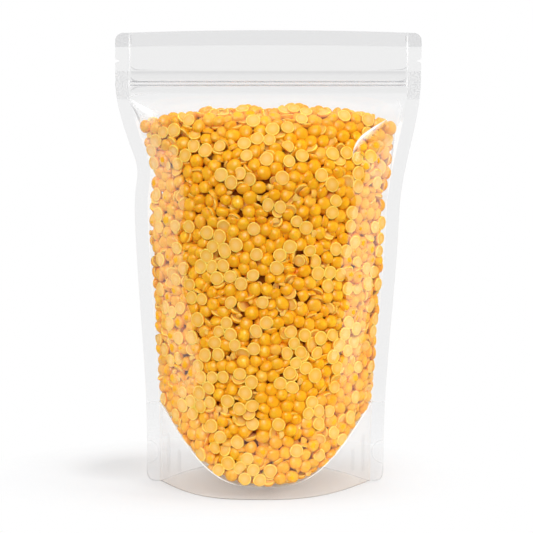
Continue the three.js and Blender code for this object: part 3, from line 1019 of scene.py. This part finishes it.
def make_film(name, side, material):
    """The front or back film: a grid of points from edge to edge and from the hem to the top."""
    seal = np.array(SEAL_STEPS)
    columns = np.concatenate([-np.ones(len(seal)), crowded(BELLY_COLUMNS, 0.9), np.ones(len(seal))])
    z, q = np.meshgrid(film_rows(), columns, indexing="ij")
    inset = np.concatenate([seal, np.full(BELLY_COLUMNS, SEAL_WIDTH), seal[::-1]]) + 0 * z
    end = np.where(q < 0, LEFT, RIGHT)
    on_seal = inset < SEAL_WIDTH
    notch = NOTCH_DEPTH * np.maximum(0, 1 - np.abs(z - NOTCH_HEIGHT) / NOTCH_HALF)
    from_edge = np.where(on_seal, np.maximum(inset, notch), inset)

    in_corner = np.maximum(0, CORNER_RADIUS - inset)
    corner = CORNER_RADIUS - np.sqrt(np.maximum(0, CORNER_RADIUS**2 - in_corner**2))
    corner = np.where(on_seal, corner, 0)
    z = np.clip(z, corner, SIDE_HEIGHT - corner)
    x = np.where(on_seal, lean(z) + end * (half_width(z, end) - from_edge), across_at(q, z))
    arch = TOP_ARCH * np.maximum(0, 1 - (x / (FLAT_WIDTH / 2 - CORNER_RADIUS)) ** 2)
    z_shown = z + arch * np.clip((z - STRIP_HIGH) / (SIDE_HEIGHT - STRIP_HIGH), 0, 1)

    header = np.where(z > CLOSING_HIGH - 3, header_profile(z), 0) * (1 - ramp(np.abs(q), BELLY_END, 1.0))
    body = np.maximum(depth_at(q, z) - SEAL_HALF, 0) + SKIN + FILM_GAP
    depth = np.where(on_seal, SKIN * ramp(from_edge, 0, 0.3), np.maximum(body, np.maximum(header, SKIN)))
    depth = depth * (1 - ramp(z, SIDE_HEIGHT - 0.4, SIDE_HEIGHT))
    loose = ~on_seal * ramp(1 - np.abs(q), 0, 0.06)
    relief = film_relief(side, x, z) + crease_relief(x, z, -side)
    depth = np.maximum(depth + relief * loose, np.minimum(depth, 0.05))

    points, faces = joined([(x, side * depth, z_shown)], [side == BACK])
    piece = make_piece(name, points, faces, material, film_looks(side, q, z, on_seal, from_edge))
    weld(piece)
    return piece


# ---------------------------------------------------------------- gusset, seams and marks

APRON_GAP = 0.1  # the gusset's film is welded this far inside the front and back
HEM_ROWS = 14
APRON_WARM_SHADE = 0.3
APRON_WELD = 2.5
SEAM_RADIUS = 0.26
SEAM_FLATNESS = 0.6
HEM_RADIUS = 0.2
HEM_LIFT = 0.22
TRACK_BEAD_RADIUS = 0.36
TRACK_OUT = 0.75
TRACK_INSET = 0.8


def skin_depth(q, z, gap):
    """Depth of the film's outer side, and a gap outwards from it."""
    return depth_at(q, z) - SEAL_HALF + SKIN + gap


def make_gusset(material):
    """The saddle that the peas stand on, and the aprons of the same film welded inside front and back."""
    v, q = np.meshgrid(crowded(33, 1.3), crowded(84, 1.2), indexing="ij")
    seam = seam_at(q)
    depth = skin_depth(q, seam, -APRON_GAP)
    x = across_at(q, seam)
    y = v * depth
    z = seam - GUSSET_SAG * (1 - v**2) * np.minimum(1, depth / 12)
    z = z + 0.12 * waves(x, y, 13, 31) * (1 - v**2)
    sheets, smoke, welded = [(x, y, z)], [0 * z], [0 * z]
    for side in (FRONT, BACK):
        height = seam[:1] * np.linspace(0, 1, HEM_ROWS)[:, None]
        sheets.append((across_at(q[:1], height), side * skin_depth(q[:1], height, -APRON_GAP), height))
        # painted warm shade at the foot of the front apron, for the warm shadow under the heap
        smoke.append(APRON_WARM_SHADE * (1 - ramp(height, 1, 20)) * (side == FRONT))
        welded.append(0 * height + APRON_WELD)
    points, faces = joined(sheets, (True, False, True))
    attributes = {key: np.zeros(len(points)) for key in FILM_ATTRIBUTES}
    attributes["smoke"] = np.concatenate([sheet.ravel() for sheet in smoke])
    attributes["weld"] = np.concatenate([sheet.ravel() for sheet in welded])
    return make_piece("gusset", points, faces, material, attributes)


# Folds and pressed marks on the front: rows of x, z, half width, whiteness and greyness. On the folds below,
# the whiteness is a painted highlight and the greyness a painted shade.
FOLDS = {
    # painted highlights on the folds, with painted shade at some edges
    "fold_fan": ((-68.3, 192.5, 0.5, 0.9, 0), (-63.0, 188.2, 2.2, 0.95, 0), (-55.5, 182.8, 4.4, 0.1, 0)),
    # painted shade along the fold's edge
    "fold_fan_edge_shade": ((-67.8, 190.5, 0.4, 0, 0.3), (-64.6, 185.5, 0.7, 0, 0.8), (-62.0, 178.0, 0.4, 0, 0.1)),
    "fold_streak_highlight": ((58.3, 183.0, 0.4, 0.4, 0), (51.3, 177.8, 1.7, 1.0, 0), (45.6, 173.4, 2.0, 1.0, 0),
                    (42.2, 169.3, 1.0, 0.7, 0), (41.0, 164.0, 0.3, 0, 0)),
    "fold_corner_highlight": ((63.2, 192.5, 0.3, 0.1, 0), (64.8, 187.0, 0.6, 0.25, 0.1), (64.2, 181.5, 0.6, 0.2, 0.1),
                    (61.8, 177.5, 0.3, 0, 0)),
    # painted shade along the film's right edge
    "fold_edge_right_shade": ((61.8, 176.0, 0.4, 0, 0.3), (61.0, 168.0, 0.7, 0, 0.7), (60.2, 156.0, 0.3, 0, 0)),
}
# The same at both sides, with x measured from the given middle: a painted highlight along each seal's inner
# edge in the header, a painted shade beside it, and a painted shadow round each seal's foot.
PAIRED_FOLDS = (
    (0, {
        "seal_highlight_line": ((67.9, 224.0, 0.4, 0.3, 0), (67.9, 217.0, 0.45, 0.9, 0), (68.1, 206.5, 0.4, 0.4, 0)),
        "seal_shade": ((67.2, 224.0, 0.3, 0, 0.4), (67.2, 222.0, 0.3, 0, 0.5), (67.2, 219.4, 0.3, 0, 0.3)),
    }),
    (LEAN, {
        "seal_foot_shadow": ((59.4, 9.0, 0.3, 0, 0.1), (59.3, 4.4, 0.3, 0, 0.4), (58.0, 1.5, 0.3, 0, 0.5),
                      (55.6, 0.5, 0.3, 0, 0.5), (52.9, 0.4, 0.3, 0, 0.4)),
    }),
)
PINCHES = {
    "pinch_top": ((-67.4, 208.6, 0.3, 0, 0.3), (-65.8, 207.4, 0.45, 0, 0.55), (-62.0, 207.0, 0.35, 0, 0.3),
                  (-48.0, 206.9, 0.2, 0, 0)),
    "pinch_track": ((-67.6, 203.4, 0.3, 0, 0.4), (-66.2, 202.0, 0.45, 0, 0.7), (-63.5, 201.4, 0.35, 0, 0.4),
                    (-56.0, 201.3, 0.2, 0, 0)),
    "pinch_under": ((-67.6, 196.8, 0.3, 0, 0.3), (-66.0, 198.0, 0.45, 0, 0.5), (-63.5, 198.7, 0.35, 0, 0.3),
                    (-57.0, 199.2, 0.2, 0, 0)),
    "pinch_low": ((-67.8, 193.8, 0.3, 0.2, 0), (-65.0, 195.0, 0.5, 0.35, 0), (-60.0, 195.5, 0.4, 0.2, 0),
                  (-50.0, 195.7, 0.2, 0, 0)),
    "pinch_track_right": ((67.6, 203.2, 0.3, 0, 0.3), (66.4, 202.0, 0.4, 0, 0.5), (64.0, 201.5, 0.35, 0, 0.3),
                          (58.0, 201.3, 0.2, 0, 0)),
    "pinch_top_right": ((67.6, 208.4, 0.3, 0, 0.3), (66.0, 207.4, 0.4, 0, 0.5), (62.5, 207.0, 0.35, 0, 0.3),
                        (52.0, 206.9, 0.2, 0, 0)),
}
ONE_SIDED_FOLDS = ("fold_streak_highlight",)  # white at one edge and fading to the other
LEAST_HALF_WIDTH = 0.05
PRESSED_RIBS = ((-49.9, 6.5, 26.5), (-44.1, 8.8, 20.5), (47.3, 6.4, 26.3), (42.0, 8.5, 20.2))
RIB_HALF_WIDTH = 1.25
RIB_SMOKE = 0.16


def smooth_path(points, steps=8):
    """Rows of values on a smooth line through the given rows."""
    points = np.array(points, float)
    padded = np.concatenate([2 * points[:1] - points[1:2], points, 2 * points[-1:] - points[-2:-1]])
    rows = []
    for i in range(len(points) - 1):
        a, b, c, d = padded[i : i + 4]
        for t in np.arange(steps) / steps:
            rows.append(b + 0.5 * t * (c - a + t * (2 * a - 5 * b + 4 * c - d + t * (3 * (b - c) + d - a))))
    return rows + [points[-1]]


def film_tree(piece):
    mesh = piece.data
    points = [vertex.co / MM for vertex in mesh.vertices]
    return BVHTree.FromPolygons(points, [tuple(face.vertices) for face in mesh.polygons])


def ribbon(name, tree, rows, material, ridge=0.2, columns=9):
    """A low ridge on the front film; each row gives x, z, half width, whiteness and greyness."""
    rows = np.array(rows)
    rows[:, 2:] = np.maximum(rows[:, 2:], (LEAST_HALF_WIDTH, 0, 0))
    along = np.gradient(rows[:, :2], axis=0)
    along /= np.linalg.norm(along, axis=1)[:, None]
    points, white, smoke = [], [], []
    for (x, z, half, light, dark), (ax, az) in zip(rows, along):
        for t in np.linspace(-1, 1, columns):
            across_x, across_z = x - az * half * t, z + ax * half * t
            place = tree.ray_cast((across_x, -80.0, across_z), (0, 1, 0))[0]
            y = place.y if place else -SKIN
            points.append((across_x, y - 0.05 - ridge * (1 - t * t), across_z))
            one_sided = min(1, (1 + t) / 0.25) * (1 if t < -0.4 else 0.55 * (1 - t) / 1.4)
            white.append(light * (one_sided if name in ONE_SIDED_FOLDS else 1 - t * t))
            smoke.append(dark * (1 - t * t))
    attributes = {"white": np.array(white), "smoke": np.array(smoke)}
    return make_piece(name, np.array(points), grid_faces(len(rows), columns), material, attributes)


def make_folds(film_front, material):
    """Folds and seal lines with painted highlights and shade, pressed ribs, the outlines of the spot welds
    and the gusset's folded ends.
    """
    tree = film_tree(film_front)
    folds = dict(FOLDS)
    for middle, paired in PAIRED_FOLDS:
        for word, side in (("left", LEFT), ("right", RIGHT)):
            for name, rows in paired.items():
                folds[f"{name}_{word}"] = [(middle + side * x, *rest) for x, *rest in rows]
    folds.update(PINCHES)
    pieces = [ribbon(name, tree, smooth_path(rows), material) for name, rows in folds.items()]
    for number, (middle, low, high) in enumerate(PRESSED_RIBS):
        z = (low + high) / 2 - (high - low) / 2 * np.cos(np.linspace(0, math.pi, 33))
        from_end = np.minimum(RIB_HALF_WIDTH, np.minimum(z - low, high - z))
        half = RIB_HALF_WIDTH * np.sqrt(1 - (1 - from_end / RIB_HALF_WIDTH) ** 2)
        rows = np.stack([0 * z + middle, z, half, 0 * z, 0 * z + RIB_SMOKE], 1)
        pieces.append(ribbon(f"pressed_rib_{number}", tree, rows, material, ridge=0.15))
    for word, side in (("left", LEFT), ("right", RIGHT)):
        turns = np.linspace(-math.pi / 2 + 0.06, math.pi / 2 - 0.06, 25)
        z = PUNCH_HEIGHT + PUNCH_RADIUS * np.sin(turns)
        x = lean(z) + side * (half_width(z, side) - PUNCH_RADIUS * np.cos(turns))
        rows = np.stack([x, z, 0 * x + 0.3, 0 * x + 0.1, 0 * x + 0.06], 1)
        pieces.append(ribbon(f"punch_mark_{word}", tree, rows, material, ridge=0.1, columns=5))
        across = (half_chord(GUSSET_HEIGHT, side), half_width(GUSSET_HEIGHT, side) - 0.4)
        rows = [(lean(GUSSET_HEIGHT) + side * half, GUSSET_HEIGHT, 0.3, 0.35, 0.3) for half in across]
        pieces.append(ribbon(f"gusset_fold_{word}", tree, rows, material, ridge=0.1, columns=5))
    return pieces


def make_beads(seam, hem, track):
    """The fine lines of the pouch: gusset seams, hems and the strip's two tracks; the front hem is dark, as
    painted contact shadow.
    """
    pieces = []
    for word, side in (("front", FRONT), ("back", BACK)):
        q = crowded(140, 1.25)
        path = np.stack([across_at(q, seam_at(q)), side * skin_depth(q, seam_at(q), FILM_GAP), seam_at(q)], 1)
        white = lerp(0.12, 1.0, ramp(np.abs(path[:, 0]), 8, 30))
        pieces.append(tube(f"seam_{word}", path, side, SEAM_RADIUS, seam, white, SEAM_FLATNESS))
        q = crowded(140, 1.2) * 0.995
        z = 0 * q + HEM_LIFT
        path = np.stack([across_at(q, z), side * skin_depth(q, z, FILM_GAP + 0.1), z], 1)
        # the front hem's bead is darkened as painted contact shadow
        hem_or_track = hem if side == FRONT else track
        pieces.append(tube(f"hem_{word}", path, side, HEM_RADIUS, hem_or_track, 0 * q + 1))
        for number, height in enumerate(TRACK_HEIGHTS):
            left, right = (end * (half_chord(height, end) - TRACK_INSET) for end in (LEFT, RIGHT))
            x = np.linspace(left, right, 40) + lean(height)
            path = np.stack([x, 0 * x + side * TRACK_OUT, 0 * x + height], 1)
            pieces.append(tube(f"track_{word}_{number}", path, side, TRACK_BEAD_RADIUS, track, 0 * x + 1))
    return pieces


# ---------------------------------------------------------------- floor and light, in metres

FLOOR_SIZE = 1.6
FLOOR_DARK = (0.735, 0.745, 0.76, 1)
FLOOR_LIGHT = (0.755, 0.765, 0.78, 1)
FAR_OFF = (0.2, 0.42)  # the floor lights nothing beyond this far from the pouch
AHEAD = (-0.12, -0.22)  # or in front of it
SHADOW_MIDDLE = (-0.022, 0.012)  # the floor is white for the camera away from here
SHADOW_REACH = (0.13, 0.085)
# a painted shadow in the floor's colour
SHADE_MIDDLE = (-0.079, 0.036)  # the soft shadow at the left
SHADE_REACH = (0.03, 0.036)
SHADE_DEPTH = 0.16
# Each light's place, size, radiance, the height that it faces and whether it shows in gloss.
LIGHTS = {
    "key": ((-0.1, -0.75, 1.25), (1.1, 0.7), 2.5, 0.12, False),
    "fill": ((-0.3, -1.8, 0.7), (1.1, 0.9), 6.4, 0.12, False),
    "side_key": ((1.1, -0.8, 0.75), (0.4, 0.4), 12.0, 0.12, False),
    "pea_shine": ((-0.4, -1.6, 1.0), (0.6, 0.5), 105.0, 0.12, True),
    "left_strip": ((-1.0, -0.02, 0.3), (0.62, 1.1), 1.2, 0.12, True),
    "right_strip": ((1.0, -0.05, 0.3), (0.6, 1.1), 1.9, 0.12, True),
    "overhead": ((0, 0.1, 1.3), (0.9, 1.3), 1.4, 0.1, False),
}


def distance(s, where, middle=(0, 0), reach=(1, 1)):
    """Distance over the floor from an oval's middle: 1 at its outline."""
    scale = (1 / reach[0], 1 / reach[1], 0)
    shift = (-middle[0] / reach[0], -middle[1] / reach[1], 0)
    scaled = s.node("VectorMath", where, scale, shift)
    scaled.operation = "MULTIPLY_ADD"
    length = s.node("VectorMath", scaled.outputs["Vector"])
    length.operation = "LENGTH"
    return length.outputs["Value"]


def make_floor():
    """A pale floor: white for the camera away from the pouch, clear to other rays where it would glare, and
    with a painted shadow at the pouch's left.
    """
    s = Shader(bpy.data.materials.new("studio_floor"))
    where = s.where()
    seen = s.node("LightPath").outputs["Is Camera Ray"]
    around = s.spread(distance(s, where), *FAR_OFF)
    ahead = s.spread(s.node("SeparateXYZ", where).outputs["Y"], *AHEAD)
    whiten = s.spread(distance(s, where, SHADOW_MIDDLE, SHADOW_REACH), 0.55, 1.0, 0.2, 1.0)
    # painted shadow: the floor's colour darkens in a soft oval at the pouch's left
    shade = s.spread(distance(s, where, SHADE_MIDDLE, SHADE_REACH), 0.2, 1.0, SHADE_DEPTH, 0.0)
    colour = s.mix(shade, s.mix(s.noise(9), FLOOR_DARK, FLOOR_LIGHT), neutral(0))
    unlit = s.times(s.math("SUBTRACT", 1.0, seen), s.math("MAXIMUM", around, ahead))
    floor = s.blend(unlit, s.shade("BsdfDiffuse", Color=colour), s.shade("BsdfTransparent"))
    material = s.finish(s.blend(s.times(seen, whiten), floor, s.shade("Emission")))
    half = FLOOR_SIZE / 2 / MM
    corners = np.array([[-half, -half, 0], [half, -half, 0], [half, half, 0], [-half, half, 0]])
    make_piece("floor", corners, np.array([[0, 1, 2, 3]]), material)


def make_world():
    """White behind the object for the camera; for lighting, soft from above and dark in front."""
    s = Shader(bpy.data.worlds.new("studio"))
    towards_back = s.node("SeparateXYZ", s.where("Generated")).outputs["Y"]
    strength = s.node("MapRange", towards_back, -0.48, 0.05, 0.02, 0.9)
    strength.interpolation_type = "SMOOTHSTEP"
    around = s.shade("Background", Strength=strength.outputs["Result"])
    white = s.shade("Background", Color=neutral(1), Strength=1.0)
    seen = s.node("LightPath").outputs["Is Camera Ray"]
    bpy.context.scene.world = s.finish(s.blend(seen, around, white), "OutputWorld")


def make_lights(peas):
    """Rectangular softboxes. The film mirrors only the strips, and pea_shine only gives the peas gloss."""
    for name, (place, size, radiance, aim_height, in_gloss) in LIGHTS.items():
        data = bpy.data.lights.new(name, "AREA")
        data.shape = "RECTANGLE"
        data.size, data.size_y = size
        data.energy = radiance * math.pi * size[0] * size[1]
        light = bpy.data.objects.new(name, data)
        light.location = place
        towards = Vector((0, 0, aim_height)) - Vector(place)
        light.rotation_euler = towards.to_track_quat("-Z", "Y").to_euler()
        light.visible_glossy = in_gloss
        bpy.context.scene.collection.objects.link(light)
    shine = bpy.data.objects["pea_shine"]
    shine.visible_diffuse = False
    receivers = bpy.data.collections.new("pea_shine_receivers")
    for piece in peas:
        receivers.objects.link(piece)
    shine.light_linking.receiver_collection = receivers


# ---------------------------------------------------------------- everything together

film = film_material("clear_film", neutral(0.985), neutral(0.72, -0.01))
# the gusset film's smoky colour is a painted warm shade, on the foot of the front apron
gusset_film = film_material("gusset_film", neutral(0.99), (0.86, 0.74, 0.62, 1))
seam_bead = bead_material("seam_bead", (0.95, 0.93, 0.88, 1), 0.7, 0.15)
# painted contact shadow: the front hem's bead is a dark, warm grey line
hem_shadow_bead = bead_material("hem_shadow_bead", (0.8, 0.785, 0.77, 1), 0.0, 0.4)
track_bead = bead_material("track_bead", neutral(0.955, -0.005), 0.06, 0.5)

peas = make_peas(pea_material())
contents = [*peas, make_core(core_material())]
film_front = make_film("film_front", FRONT, film)
pouch = [film_front, make_film("film_back", BACK, film)]
pouch += make_folds(film_front, fold_and_highlight_material())
pouch.append(make_gusset(gusset_film))
pouch += make_beads(seam_bead, hem_shadow_bead, track_bead)
for piece in pouch:
    piece.visible_shadow = False
for piece in contents + pouch:
    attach(piece, "root")
    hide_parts("pouch")

make_floor()
make_world()
make_lights(peas)
bpy.context.scene.view_settings.view_transform = "Standard"
bpy.context.scene.cycles.transparent_max_bounces = 24
